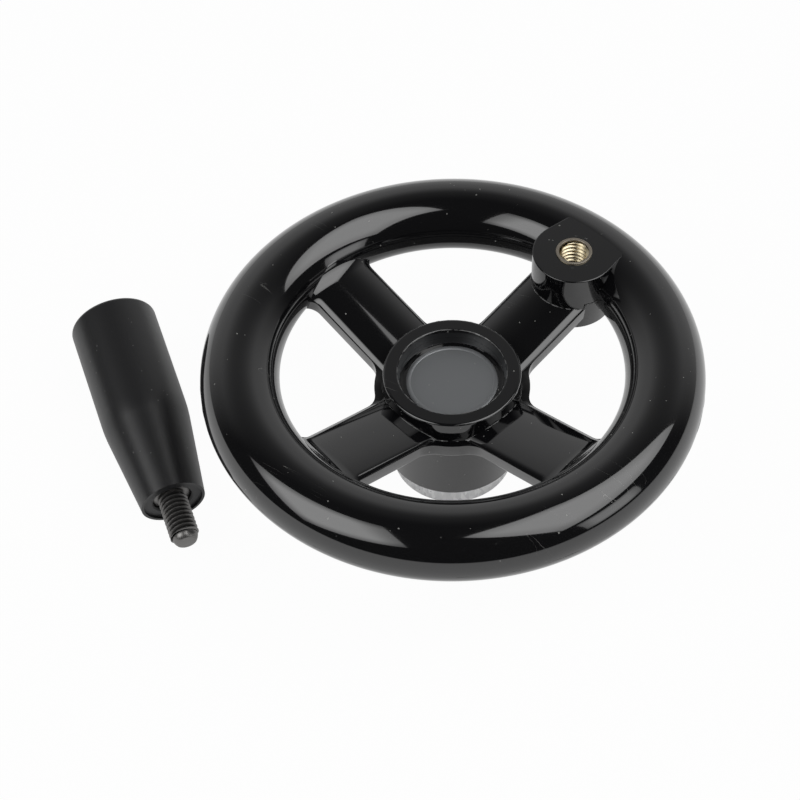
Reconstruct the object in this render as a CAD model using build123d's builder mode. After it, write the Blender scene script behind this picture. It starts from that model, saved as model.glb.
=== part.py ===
from build123d import *
from math import atan, atan2, cos, hypot, radians, sin, tan
import os

# Machine handwheel of 100 mm: a four-spoked wheel moulded round a blank steel hub slug and a brass
# threaded insert, and its revolving handle, which lies on the same surface beside the wheel.
# Millimetres. The origin is on the wheel's axis, at the lower face of the steel slug. +Z is up.

os.makedirs("parts", exist_ok=True)

# ---- driving dimensions: rim ------------------------------------------------------------------
parting_height = 28.5           # height of the mould's parting plane at the rim
rim_radius = 50.0
rim_half_width = 7.9            # half the radial width of the oval rim
rim_upper = 7.55                # height of the oval above the parting plane
rim_lower = 5.7                 # depth of the oval below it
flash_trim = 0.03               # how far the trimmed flash line cuts into the oval

# ---- driving dimensions: spokes ---------------------------------------------------------------
spoke_count = 4
spoke_azimuth = 44.0            # direction of the spoke that carries the boss
spoke_half_width = 7.42         # at the parting line
spoke_fall = 0.29               # fall of the parting line towards the hub, per mm of radius
flank_lean = 0.6                # inward lean of the upper flanks, per mm of height
spoke_draft = 3.0               # degrees, on the walls below the parting line
spoke_lower_depth = 3.3         # depth of a spoke below the parting line
spoke_start = 7.0               # the spokes' straight sides begin here, inside the hub
shoulder_radius = 1.1           # rounding between a spoke's top and its flanks
window_hub_fillet = 4.5         # rounding of a window's corners in plan, at the web
window_hub_fillet_above = 2.6
window_rim_fillet = 3.2         # the same at the rim
lower_edge_radius = 0.7         # rounding of the spokes' lower edges
spoke_top_hub = -3.1            # top of a spoke at the collar, above the parting plane
spoke_top_rim = 2.0             # top of a spoke at the rim
crown_radius = 45.0             # crown across a spoke's top
blend_angle = 30.0              # how far up the rim's oval a spoke's top sweeps, in degrees

# ---- driving dimensions: hub ------------------------------------------------------------------
collar_radius = 13.8
collar_top = -1.0               # above the parting plane
web_radius = 15.65              # edge of the web between two spokes
hub_radius = 14.0               # at its lower end
hub_bottom = -23.0
hub_draft = 0.4                 # how much wider the hub is where it meets the web
collar_edge = 0.45
slug_spigot = 4.0               # length of the slug's spigot below its top face
recess_edge = 0.25
recess_mouth_radius = 10.85
recess_floor_radius = 9.9
slug_top = -4.1
slug_radius = 12.3
slug_spigot_radius = 9.25
slug_body_radius = 11.3
slug_grip = 2.0                 # how far the slug's full diameter runs up inside the hub
slug_groove = 2.5               # length of each retaining groove
slug_groove_radius = 10.5
slug_chamfer = 1.6              # radial width of the shallow chamfer round the top face
slug_chamfer_depth = 0.25

# ---- driving dimensions: boss and threaded insert ---------------------------------------------
boss_radial = 34.7              # distance of the boss from the wheel's axis
boss_radius = 8.45
boss_top = 7.4
boss_bottom = -6.1
boss_run_out = 8.0              # length of the flat's tapering sides towards the rim's crest
boss_run_out_radius = 7.3
boss_edge = 0.5
insert_radius = 3.7
insert_knurl_radius = 4.3
insert_stand = 0.45             # how far the insert's face stands above the boss
insert_length = 12.6
insert_neck = 2.2               # length of the plain neck above the knurled body
insert_blind = 1.0              # closed end of the insert's bore
insert_countersink = 0.5
thread_minor_radius = 2.5       # M6
thread_major_radius = 3.0

# ---- driving dimensions: revolving handle -----------------------------------------------------
grip_length = 46.4
grip_straight = 26.4            # length of the nearly cylindrical part
grip_end_radius = 9.15
grip_waist_radius = 9.08
grip_mouth_radius = 6.66
bore_radius = 5.2
bore_depth = 24.4
seat_radius = 6.1               # counterbore for the bush's flange
bush_recess = 0.5
bush_flange = 1.1
bush_length = 20.0
bush_lead_in = 0.3
grip_end_edge = 0.95
grip_lip = 0.45
waist_blend = 30.0
shank_radius = 3.95
running_clearance = 0.05
shoulder_recess = 1.2
shank_length = 21.0
head_radius = 4.8
head_thickness = 2.0
stud_reach = 10.0               # the stud beyond the grip's mouth
relief_radius = 2.35
relief_length = 0.8
stud_chamfer = 0.8
stud_chamfer_inset = 1.0
mouth_place = (-56.69, -16.30)
handle_azimuth = -70.0

# ---- worked-out values ------------------------------------------------------------------------
rim_centre = rim_radius - rim_half_width + flash_trim
rim_inner = rim_centre - rim_half_width
window_rim_radius = rim_inner + 2.0   # hidden in the rim, where the oval is as deep as the spokes
overlap = 4.0                   # how far spokes run into the rim before they are joined to it
spoke_end = rim_inner + overlap


def parting_at(radius):
    """Height of the spokes' parting line at a radius."""
    return parting_height - spoke_fall * (rim_inner - radius)


def spoke_top_at(radius):
    """Height of the middle of a spoke's crowned top at a radius."""
    rise = (spoke_top_rim - spoke_top_hub) / (rim_inner - collar_radius)
    return parting_height + spoke_top_hub + rise * (radius - collar_radius)


def outline_half_width(radius, level, lean):
    """Half width that a leaning wall needs on a level plane to stand at the spoke's edge."""
    return spoke_half_width + lean * (parting_at(radius) - level)


def radial(point):
    """Distance of a point from the wheel's axis."""
    return (point.X**2 + point.Y**2) ** 0.5


# ---- openings between the spokes ----------------------------------------------------------------
# A spoke's parting line falls towards the hub, so each wall leans from that falling line. The plan
# of an opening is worked out at two levels, and the two plans are joined by straight lines.
def window_plan(level, lean, web, ring, web_fillet, ring_fillet):
    """The openings between the spokes on one level plane, in order of azimuth."""
    with BuildSketch(Plane.XY.offset(level)) as openings:
        Circle(ring)
        Circle(web, mode=Mode.SUBTRACT)
        near = outline_half_width(spoke_start, level, lean)
        far = outline_half_width(ring + 2, level, lean)
        with PolarLocations(0, spoke_count, start_angle=spoke_azimuth):
            Polygon(
                (spoke_start, -near), (ring + 2, -far), (ring + 2, far), (spoke_start, near),
                align=None, mode=Mode.SUBTRACT,
            )
        fillet(openings.vertices().filter_by(lambda v: radial(v) < web + 0.5), web_fillet)
        fillet(openings.vertices().filter_by(lambda v: radial(v) > ring - 0.5), ring_fillet)
    return openings.sketch.faces().sort_by(lambda f: atan2(f.center().Y, f.center().X))


def windows(lower_plan, upper_plan):
    """The openings as solids, each joined from its lower plan to its upper one."""
    with BuildPart() as openings:
        for lower, upper in zip(lower_plan, upper_plan):
            loft([lower, upper], ruled=True)
    return openings.part


web_level = parting_at(web_radius) - spoke_lower_depth
collar_height = parting_height + collar_top
draft_lean = -tan(radians(spoke_draft))
below_low = parting_at(web_radius) - spoke_lower_depth - 1.0
below_high = parting_height + 1.0
windows_below = windows(
    window_plan(
        below_low, draft_lean, web_radius + draft_lean * (parting_at(web_radius) - below_low),
        window_rim_radius, window_hub_fillet, window_rim_fillet,
    ),
    window_plan(
        below_high, draft_lean, web_radius + draft_lean * (parting_at(web_radius) - below_high),
        window_rim_radius, window_hub_fillet, window_rim_fillet,
    ),
)

above_low = parting_at(web_radius) - 0.4
above_high = parting_height + 4.0
above_lean = flank_lean * (above_high - above_low)
upper_web_fillet = window_hub_fillet_above + above_lean
windows_above = windows(
    window_plan(
        above_low, flank_lean, collar_radius, rim_inner - 2.6, window_hub_fillet_above, 0.4,
    ),
    window_plan(
        above_high, flank_lean, collar_radius - above_lean, rim_inner + 2.65, upper_web_fillet, 4.13,
    ),
)
open_windows = windows(
    window_plan(
        above_low, flank_lean, collar_radius, spoke_end + 6, window_hub_fillet_above, 0.4,
    ),
    window_plan(
        above_high, flank_lean, collar_radius - above_lean, spoke_end + 6, upper_web_fillet, 0.4,
    ),
)

# ---- lower half of the spokes and web -----------------------------------------------------------
with BuildPart() as spokes_below:
    with BuildSketch(Plane.XZ):
        Polygon(
            (8, parting_at(8)), (spoke_end, parting_at(spoke_end)),
            (spoke_end, parting_at(spoke_end) - spoke_lower_depth),
            (8, parting_at(8) - spoke_lower_depth),
            align=None,
        )
    revolve(axis=Axis.Z)
    add(windows_below, mode=Mode.SUBTRACT)
    lower_edges = spokes_below.edges().filter_by(
        lambda e: web_radius - 1 < radial(e @ 0.5) < spoke_end - 1
        and abs((e @ 0.5).Z - parting_at(radial(e @ 0.5)) + spoke_lower_depth) < 0.02
    )
    fillet(lower_edges, lower_edge_radius)

# ---- upper half of the spokes -------------------------------------------------------------------
# Everything above the falling parting line and below the crowned tops.
# A crowned top is straight along the spoke and then sweeps up, tangent to the rim's oval.
top_slope = spoke_top_at(1) - spoke_top_at(0)
along = Vector(1, top_slope).normalized()
upright = Vector(-top_slope, 1).normalized()
sweep = radians(blend_angle)
touch = Vector(rim_centre - rim_half_width * cos(sweep), parting_height + rim_upper * sin(sweep))
out_of_rim = Vector(-cos(sweep) / rim_half_width, sin(sweep) / rim_upper).normalized()
rise = (touch - Vector(0, spoke_top_at(0))).dot(upright)
blend_radius = rise / (1 - out_of_rim.dot(upright))
blend_start = (touch - Vector(0, spoke_top_at(0))).dot(along) + blend_radius * out_of_rim.dot(along)
blend_end = blend_start + blend_radius
with BuildPart() as crowned_bars:
    for spoke in range(spoke_count):
        azimuth = radians(spoke_azimuth + spoke * 360 / spoke_count)
        direction = Vector(cos(azimuth) * along.X, sin(azimuth) * along.X, along.Y)
        middle_plane = Plane(
            origin=(0, 0, spoke_top_at(0)), x_dir=direction, z_dir=(sin(azimuth), -cos(azimuth), 0),
        )
        with BuildSketch(middle_plane):
            with BuildLine():
                Line((0, -14), (0, 0))
                Line((0, 0), (blend_start, 0))
                RadiusArc((blend_start, 0), (blend_end, blend_radius), -blend_radius)
                Polyline((blend_end, blend_radius), (blend_end, -14), (0, -14))
            make_face()
        crown_centre = middle_plane.from_local_coords((0, -crown_radius, 0))
        revolve(axis=Axis(crown_centre, direction))

with BuildPart() as upper_space:
    with BuildSketch(Plane.XZ):
        Polygon(
            (0, parting_at(0)), (spoke_end, parting_at(spoke_end)),
            (spoke_end, touch.Y), (0, touch.Y), align=None,
        )
    revolve(axis=Axis.Z)
    add(crowned_bars.part, mode=Mode.INTERSECT)

with BuildPart() as spokes_above:
    add(upper_space.part)
    add(open_windows, mode=Mode.SUBTRACT)

with BuildPart() as rim_corners:
    add(upper_space.part)
    add(windows_above, mode=Mode.SUBTRACT)
    add(spokes_above.part, mode=Mode.SUBTRACT)

with BuildPart() as rounded_spokes:
    add(spokes_above.part)
    shoulders = rounded_spokes.edges().filter_by(
        lambda e: 4 < e.length
        and 13.4 < radial(e @ 0.5) < 35.2
        and parting_at(radial(e @ 0.5)) + 0.9 < (e @ 0.5).Z < touch.Y - 0.1
    )
    fillet(shoulders, shoulder_radius)

# ---- boss for the handle ------------------------------------------------------------------------
boss_azimuth = radians(spoke_azimuth)
boss_plane = Plane(
    origin=(boss_radial * cos(boss_azimuth), boss_radial * sin(boss_azimuth), parting_height),
    x_dir=(cos(boss_azimuth), sin(boss_azimuth), 0),
    z_dir=(0, 0, 1),
)
with BuildPart() as boss:
    with BuildSketch(boss_plane.offset(boss_bottom)):
        Circle(boss_radius)
        with Locations((boss_run_out, 0)):
            Circle(boss_run_out_radius)
        make_hull()
    extrude(amount=boss_top - boss_bottom)
    fillet(boss.edges().group_by(Axis.Z)[-1], boss_edge)
    with BuildSketch(Plane.XY.offset(parting_height - 10)):
        Circle(rim_centre)
    extrude(amount=20, mode=Mode.INTERSECT)

# ---- steel hub slug -----------------------------------------------------------------------------
slug_face = parting_height + slug_top
slug_shoulder = parting_height + hub_bottom + slug_grip
with BuildPart() as hub_slug:
    with BuildSketch(Plane.XZ):
        Polygon(
            (0, 0),
            (slug_radius - 0.5, 0),
            (slug_radius, 0.5),
            (slug_radius, slug_shoulder),
            (slug_groove_radius, slug_shoulder),
            (slug_groove_radius, slug_shoulder + slug_groove),
            (slug_body_radius, slug_shoulder + slug_groove),
            (slug_body_radius, slug_face - slug_spigot - slug_groove),
            (slug_groove_radius, slug_face - slug_spigot - slug_groove),
            (slug_groove_radius, slug_face - slug_spigot),
            (slug_spigot_radius, slug_face - slug_spigot),
            (slug_spigot_radius, slug_face - slug_chamfer_depth),
            (slug_spigot_radius - slug_chamfer, slug_face),
            (0, slug_face),
            align=None,
        )
    revolve(axis=Axis.Z)
hub_slug.part.label = "hub_slug"
export_step(hub_slug.part, "parts/hub_slug.step")

# ---- brass threaded insert ----------------------------------------------------------------------
insert_top = boss_top + insert_stand
boss_section = Plane(
    origin=boss_plane.origin, x_dir=boss_plane.x_dir, z_dir=-boss_plane.y_dir,
)
with BuildPart() as thread_insert:
    with BuildSketch(boss_section):
        Polygon(
            (0, insert_top - insert_length),
            (insert_knurl_radius, insert_top - insert_length),
            (insert_knurl_radius, insert_top - insert_neck),
            (insert_radius, insert_top - insert_neck),
            (insert_radius, insert_top - 0.2),
            (insert_radius - 0.2, insert_top),
            (thread_minor_radius + insert_countersink, insert_top),
            (thread_minor_radius, insert_top - insert_countersink),
            (thread_minor_radius, insert_top - insert_length + insert_blind),
            (0, insert_top - insert_length + insert_blind),
            align=None,
        )
    revolve(axis=Axis(boss_plane.origin, (0, 0, 1)))
thread_insert.part.label = "thread_insert"
export_step(thread_insert.part, "parts/thread_insert.step")

# ---- wheel --------------------------------------------------------------------------------------
with BuildPart() as wheel:
    with BuildSketch(Plane.XZ) as rim_section:
        with Locations((rim_centre, parting_height)):
            Ellipse(rim_half_width, rim_upper)
            Rectangle(
                2 * rim_half_width, rim_upper,
                align=(Align.CENTER, Align.MIN), mode=Mode.INTERSECT,
            )
            with BuildSketch(Plane.XZ, mode=Mode.PRIVATE) as under:
                with Locations((rim_centre, parting_height)):
                    Ellipse(rim_half_width, rim_lower)
                    Rectangle(
                        2 * rim_half_width, rim_lower,
                        align=(Align.CENTER, Align.MAX), mode=Mode.INTERSECT,
                    )
        add(under.sketch_local)
        with Locations((rim_centre - flash_trim, parting_height)):
            Rectangle(2 * rim_half_width, 2 * rim_upper, mode=Mode.INTERSECT)
    revolve(axis=Axis.Z)
    add(spokes_below.part)
    add(rounded_spokes.part)
    add(rim_corners.part)
    add(boss.part)
    with BuildSketch(Plane.XZ):
        Polygon(
            (0, parting_height + hub_bottom),
            (hub_radius - 0.3, parting_height + hub_bottom),
            (hub_radius, parting_height + hub_bottom + 0.3),
            (hub_radius + hub_draft, web_level),
            (collar_radius + 0.05, web_level + 2.0),
            (collar_radius, collar_height),
            (0, collar_height),
            align=None,
        )
        fillet(vertices().filter_by(lambda v: v.X > 1 and abs(v.Y - collar_height) < 0.01), collar_edge)
    revolve(axis=Axis.Z)
    with BuildSketch(Plane.XZ):
        Polygon(
            (0, slug_face),
            (recess_floor_radius, slug_face),
            (recess_mouth_radius, collar_height - recess_edge),
            (recess_mouth_radius + recess_edge, collar_height),
            (recess_mouth_radius + recess_edge, collar_height + 1),
            (0, collar_height + 1),
            align=None,
        )
    revolve(axis=Axis.Z, mode=Mode.SUBTRACT)
    add(hub_slug.part, mode=Mode.SUBTRACT)
    with Locations(boss_plane.offset(insert_top - insert_length)):
        Cylinder(
            insert_knurl_radius, insert_length - insert_neck,
            align=(Align.CENTER, Align.CENTER, Align.MIN), mode=Mode.SUBTRACT,
        )
        Cylinder(
            insert_radius, insert_length + 1,
            align=(Align.CENTER, Align.CENTER, Align.MIN), mode=Mode.SUBTRACT,
        )
wheel.part.label = "wheel"
export_step(wheel.part, "parts/wheel.step")

# ---- revolving handle ---------------------------------------------------------------------------
# The grip lies on its conical part, so its axis dips towards the mouth.
dip = atan((grip_waist_radius - grip_mouth_radius) / (grip_length - grip_straight))
outward = Vector(
    cos(radians(handle_azimuth)) * cos(dip), sin(radians(handle_azimuth)) * cos(dip), -sin(dip),
)
mouth_height = grip_mouth_radius * cos(dip)
handle_plane = Plane(
    origin=(mouth_place[0], mouth_place[1], mouth_height),
    x_dir=Vector(-sin(radians(handle_azimuth)), cos(radians(handle_azimuth)), 0),
    z_dir=outward,
)
section_plane = Plane(
    origin=handle_plane.origin, x_dir=handle_plane.x_dir, z_dir=-handle_plane.y_dir,
)
handle_axis = Axis(handle_plane.origin, outward)
with BuildPart() as grip:
    with BuildSketch(section_plane):
        with BuildLine():
            Polyline(
                (0, -grip_length),
                (grip_end_radius, -grip_length),
                (grip_waist_radius, -(grip_length - grip_straight)),
                (grip_mouth_radius, 0),
                (seat_radius, 0),
                (seat_radius, -(bush_recess + bush_flange)),
                (bore_radius, -(bush_recess + bush_flange)),
                (bore_radius, -bore_depth),
                (0, -bore_depth),
                (0, -grip_length),
            )
        make_face()
        outer_corners = vertices().filter_by(lambda v: v.X > grip_mouth_radius - 0.01)
        end_corner, waist_corner, lip_corner = outer_corners.sort_by(Axis.Y)
        fillet(end_corner, grip_end_edge)
        fillet(waist_corner, waist_blend)
        fillet(lip_corner, grip_lip)
    revolve(axis=handle_axis)
grip.part.label = "grip"
export_step(grip.part, "parts/grip.step")

with BuildPart() as retaining_bush:
    with BuildSketch(section_plane):
        Polygon(
            (shank_radius + running_clearance + bush_lead_in, -bush_recess),
            (seat_radius, -bush_recess),
            (seat_radius, -(bush_recess + bush_flange)),
            (bore_radius, -(bush_recess + bush_flange)),
            (bore_radius, -(bush_recess + bush_length)),
            (shank_radius + running_clearance, -(bush_recess + bush_length)),
            (shank_radius + running_clearance, -(bush_recess + bush_lead_in)),
            align=None,
        )
    revolve(axis=handle_axis)
retaining_bush.part.label = "retaining_bush"
export_step(retaining_bush.part, "parts/retaining_bush.step")

head_face = -(shoulder_recess + shank_length)
with BuildPart() as spindle:
    with BuildSketch(section_plane):
        Polygon(
            (0, head_face - head_thickness),
            (head_radius - 0.3, head_face - head_thickness),
            (head_radius, head_face - head_thickness + 0.3),
            (head_radius, head_face),
            (shank_radius, head_face),
            (shank_radius, -shoulder_recess - 0.2),
            (shank_radius - 0.2, -shoulder_recess),
            (relief_radius, -shoulder_recess),
            (relief_radius, -shoulder_recess + relief_length),
            (thread_major_radius, -shoulder_recess + relief_length + 0.4),
            (thread_major_radius, stud_reach - stud_chamfer),
            (thread_major_radius - stud_chamfer_inset, stud_reach),
            (0, stud_reach),
            align=None,
        )
    revolve(axis=handle_axis)
spindle.part.label = "spindle"
export_step(spindle.part, "parts/spindle.step")
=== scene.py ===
# %% [markdown]
# # A moulded machine handwheel
# The wheel is one glossy black moulding round a blank steel slug and a brass threaded insert. Its
# revolving handle lies loose beside it. The CAD model is loaded as a fixed frame, and everything
# made here is built round it in the same metres.

# %% Load the frame
import bmesh
import bpy
import math
from mathutils import Matrix, Vector, noise


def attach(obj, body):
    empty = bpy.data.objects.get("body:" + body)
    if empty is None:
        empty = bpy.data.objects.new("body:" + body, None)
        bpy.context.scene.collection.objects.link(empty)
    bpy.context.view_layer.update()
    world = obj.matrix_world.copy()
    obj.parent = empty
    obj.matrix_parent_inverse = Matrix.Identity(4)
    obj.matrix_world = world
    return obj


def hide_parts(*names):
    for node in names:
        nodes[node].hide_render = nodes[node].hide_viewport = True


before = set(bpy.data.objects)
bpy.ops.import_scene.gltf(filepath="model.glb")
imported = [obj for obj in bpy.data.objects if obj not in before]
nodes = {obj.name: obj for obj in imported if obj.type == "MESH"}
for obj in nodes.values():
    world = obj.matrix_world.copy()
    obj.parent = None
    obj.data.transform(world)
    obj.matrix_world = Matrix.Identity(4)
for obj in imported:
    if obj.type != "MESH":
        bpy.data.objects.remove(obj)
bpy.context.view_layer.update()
MM = 0.001

# %% [markdown]
# ## Camera
# A small machine part is usually pictured with a long lens, which keeps the far rim nearly as wide
# as the near one. The camera looks down at about fifty degrees and is turned a little on its side.

# %% Camera
view_camera = bpy.data.cameras.new("camera")
view_camera.lens = 91.204
view_camera.sensor_width = 36.0
view_camera.clip_start = 0.01
camera = bpy.data.objects.new("camera", view_camera)
camera.location = (0.0, -0.258492, 0.337281)
camera.rotation_euler = [math.radians(a) for a in (39.04128, 1.47104, 0.53112)]
bpy.context.scene.collection.objects.link(camera)
bpy.context.scene.camera = camera
print("camera", [round(v, 4) for v in camera.location])

# %% [markdown]
# ## Helpers
# Every new piece is made with bmesh operators, written into a mesh and given to a body. Materials
# are built from nodes. A few short functions keep both jobs readable in the cells that follow.

# %% Helpers for pieces and materials
def piece_from(bm, name, body, slot, sharp_angle=30):
    """Write a bmesh into a new object, smooth but for level faces and edges sharper than an angle."""
    limit = math.radians(sharp_angle)
    for face in bm.faces:
        face.normal_update()
        face.smooth = abs(face.normal.z) < 0.99995
    for edge in bm.edges:
        edge.smooth = len(edge.link_faces) == 2 and edge.calc_face_angle() < limit
    mesh = bpy.data.meshes.new(name)
    bm.to_mesh(mesh)
    bm.free()
    made = bpy.data.objects.new(name, mesh)
    bpy.context.scene.collection.objects.link(made)
    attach(made, body)
    return made


def add(tree, kind, **values):
    """Add a node and set its properties."""
    node = tree.nodes.new(kind)
    for key, value in values.items():
        setattr(node, key, value)
    return node


def empty_material(name):
    """A material with no nodes in it yet."""
    made = bpy.data.materials.new(name)
    made.use_nodes = True
    made.node_tree.nodes.clear()
    return made


def group(name, inputs, outputs):
    """A shader node group. inputs maps a name to its default number, outputs a name to its kind."""
    tree = bpy.data.node_groups.new(name, "ShaderNodeTree")
    for label, default in inputs.items():
        socket = tree.interface.new_socket(label, in_out="INPUT", socket_type="NodeSocketFloat")
        socket.default_value = default
    for label, kind in outputs.items():
        tree.interface.new_socket(label, in_out="OUTPUT", socket_type="NodeSocket" + kind)
    return tree, add(tree, "NodeGroupInput"), add(tree, "NodeGroupOutput")


def use_group(tree, used, **values):
    """Put a group into a material and set its inputs; an underscore stands for a space."""
    node = add(tree, "ShaderNodeGroup", node_tree=used)
    for key, value in values.items():
        node.inputs[key.replace("_", " ")].default_value = value
    return node


print("helpers ready")

# %% [markdown]
# ## Floor
# The real wheel stands on white paper, which the camera sees as plain white with a faint shadow
# round each part. A glossy part still has to mirror a lit paper with its own dark shadow under it.
# So rays from the camera see almost only plain white, and reflections see the lit paper with a
# little less than half of that white mixed in.

# %% Floor
bm = bmesh.new()
bmesh.ops.create_grid(bm, x_segments=1, y_segments=1, size=1.5)
floor_mesh = bpy.data.meshes.new("floor")
bm.to_mesh(floor_mesh)
bm.free()
floor = bpy.data.objects.new("floor", floor_mesh)
bpy.context.scene.collection.objects.link(floor)

paper_white_seen = 0.97
paper_white_mirrored = 0.45
paper = empty_material("paper")
tree = paper.node_tree
lit_paper = add(tree, "ShaderNodeBsdfDiffuse")
lit_paper.inputs["Color"].default_value = (0.8, 0.8, 0.8, 1)
plain_white = add(tree, "ShaderNodeEmission")
rays = add(tree, "ShaderNodeLightPath")
mirrored = add(tree, "ShaderNodeMath", operation="MAXIMUM")
mirrored_share = add(tree, "ShaderNodeMath", operation="MULTIPLY")
mirrored_share.inputs[1].default_value = paper_white_mirrored
seen_share = add(tree, "ShaderNodeMath", operation="MULTIPLY")
seen_share.inputs[1].default_value = paper_white_seen
share = add(tree, "ShaderNodeMath", operation="MAXIMUM")
mix = add(tree, "ShaderNodeMixShader")
out = add(tree, "ShaderNodeOutputMaterial")
for start, end in (
    (rays.outputs["Is Glossy Ray"], mirrored.inputs[0]),
    (rays.outputs["Is Transmission Ray"], mirrored.inputs[1]),
    (mirrored.outputs[0], mirrored_share.inputs[0]),
    (rays.outputs["Is Camera Ray"], seen_share.inputs[0]),
    (mirrored_share.outputs[0], share.inputs[0]),
    (seen_share.outputs[0], share.inputs[1]),
    (share.outputs[0], mix.inputs[0]),
    (lit_paper.outputs[0], mix.inputs[1]),
    (plain_white.outputs[0], mix.inputs[2]),
    (mix.outputs[0], out.inputs[0]),
):
    tree.links.new(start, end)
floor_mesh.materials.append(paper)
print("floor", [round(v, 2) for v in floor.dimensions])

# %% [markdown]
# ## Studio
# Black gloss shows the room more than itself. The room is dark in front and overhead, so that the
# moulding stays black, and pale behind, which the tops mirror as they tip away. The camera itself
# sees plain white wherever the floor ends.

# %% Room
world = bpy.data.worlds.new("studio")
bpy.context.scene.world = world
world.use_nodes = True
tree = world.node_tree
tree.nodes.clear()
direction = add(tree, "ShaderNodeTexCoord")
parts = add(tree, "ShaderNodeSeparateXYZ")
backness = add(tree, "ShaderNodeMapRange", interpolation_type="SMOOTHSTEP")
for label, value in {"From Min": 0.15, "From Max": 0.75, "To Min": 0.0, "To Max": 1.0}.items():
    backness.inputs[label].default_value = value
lowness = add(tree, "ShaderNodeMapRange", interpolation_type="SMOOTHSTEP")
for label, value in {"From Min": 0.5, "From Max": 0.85, "To Min": 1.0, "To Max": 0.25}.items():
    lowness.inputs[label].default_value = value
wall = add(tree, "ShaderNodeMath", operation="MULTIPLY")
level = add(tree, "ShaderNodeMapRange")
for label, value in {"From Min": 0.0, "From Max": 1.0, "To Min": 0.03, "To Max": 0.45}.items():
    level.inputs[label].default_value = value
room = add(tree, "ShaderNodeBackground")
white = add(tree, "ShaderNodeBackground")
white.inputs["Color"].default_value = (1, 1, 1, 1)
rays = add(tree, "ShaderNodeLightPath")
mix = add(tree, "ShaderNodeMixShader")
out = add(tree, "ShaderNodeOutputWorld")
for start, end in (
    (direction.outputs["Generated"], parts.inputs[0]),
    (parts.outputs["Y"], backness.inputs["Value"]),
    (parts.outputs["Z"], lowness.inputs["Value"]),
    (backness.outputs["Result"], wall.inputs[0]),
    (lowness.outputs["Result"], wall.inputs[1]),
    (wall.outputs[0], level.inputs["Value"]),
    (level.outputs["Result"], room.inputs["Color"]),
    (rays.outputs["Is Camera Ray"], mix.inputs[0]),
    (room.outputs[0], mix.inputs[1]),
    (white.outputs[0], mix.inputs[2]),
    (mix.outputs[0], out.inputs[0]),
):
    tree.links.new(start, end)
bpy.context.scene.view_settings.view_transform = "Standard"
print("room", world.name)

# %% [markdown]
# ## Lights
# Two big square softboxes do the work: one low on the left, hung by a corner, and one on the right
# that leans over the wheel. Cloth softboxes glow most in the middle, so each lamp fades towards its
# edges, and its mirror image on the rim has a soft border. A dim strip low on the right lifts the
# shaded side.

# %% Softboxes
def softbox(name, centre, across, up, width, height, radiance, edge_share):
    """A softbox with its middle at centre, its sides along across and up, fading to edge_share."""
    across = Vector(across).normalized()
    away = across.cross(Vector(up)).normalized()
    upright = away.cross(across)
    lamp = bpy.data.lights.new(name, "AREA")
    lamp.shape = "RECTANGLE"
    lamp.size, lamp.size_y = width, height
    lamp.energy = radiance * math.pi * width * height
    lamp.use_nodes = True
    tree = lamp.node_tree
    tree.nodes.clear()
    place = add(tree, "ShaderNodeNewGeometry")
    parts = add(tree, "ShaderNodeSeparateXYZ")
    tree.links.new(place.outputs["Parametric"], parts.inputs[0])
    glow = add(tree, "ShaderNodeEmission")
    fades = []
    for axis in ("X", "Y"):
        middle = add(tree, "ShaderNodeMath", operation="SUBTRACT")
        middle.inputs[1].default_value = 0.5
        tree.links.new(parts.outputs[axis], middle.inputs[0])
        apart = add(tree, "ShaderNodeMath", operation="ABSOLUTE")
        tree.links.new(middle.outputs[0], apart.inputs[0])
        fade = add(tree, "ShaderNodeMapRange", interpolation_type="SMOOTHSTEP")
        for label, value in {"From Min": 0.25, "From Max": 0.5, "To Min": 1.0, "To Max": edge_share}.items():
            fade.inputs[label].default_value = value
        tree.links.new(apart.outputs[0], fade.inputs["Value"])
        fades.append(fade.outputs["Result"])
    both = add(tree, "ShaderNodeMath", operation="MULTIPLY")
    out = add(tree, "ShaderNodeOutputLight")
    tree.links.new(fades[0], both.inputs[0])
    tree.links.new(fades[1], both.inputs[1])
    tree.links.new(both.outputs[0], glow.inputs["Strength"])
    tree.links.new(glow.outputs[0], out.inputs[0])
    holder = bpy.data.objects.new(name, lamp)
    turned = Matrix((across, upright, away)).transposed().to_4x4()
    holder.matrix_world = Matrix.Translation(centre) @ turned
    bpy.context.scene.collection.objects.link(holder)
    print(name, round(lamp.energy, 2), "W")
    return holder


def towards(azimuth, elevation):
    """The direction of a lamp seen from the wheel, angles in degrees."""
    around, up = math.radians(azimuth), math.radians(elevation)
    return Vector((math.cos(around) * math.cos(up), math.sin(around) * math.cos(up), math.sin(up)))


def level_across(azimuth):
    """The level direction square to a lamp's own, the azimuth in degrees."""
    around = math.radians(azimuth)
    return Vector((-math.sin(around), math.cos(around), 0))


left_azimuth, low_azimuth = 213, 332
left, level = towards(left_azimuth, 42), level_across(left_azimuth)
climb = left.cross(level)
softbox("left_softbox", left, level + climb, climb - level, 0.84, 0.84, 2.5, 0.5)
right, right_across, right_up = (0.438, -0.128, 0.946), (0.234, 0.972, 0), (-0.54, 0.082, 0.838)
softbox("right_softbox", right, right_across, right_up, 0.92, 1.02, 2.4, 0.75)
low, level = towards(low_azimuth, 17), level_across(low_azimuth)
softbox("low_strip", low, level, low.cross(level), 0.44, 0.4, 1.6, 0.6)

# %% [markdown]
# ## Finishes
# Dust settles on every surface in small pale specks, handling leaves hair-fine scratches, and no
# moulding is quite flat. Each of these is a node group, so that every material can share it with
# its own strength. The groups give masks and a height; the shaders stay in the materials.

# %% Shared effects
def linked(tree, *pairs):
    """Join sockets two by two."""
    for start, end in pairs:
        tree.links.new(start, end)


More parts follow.
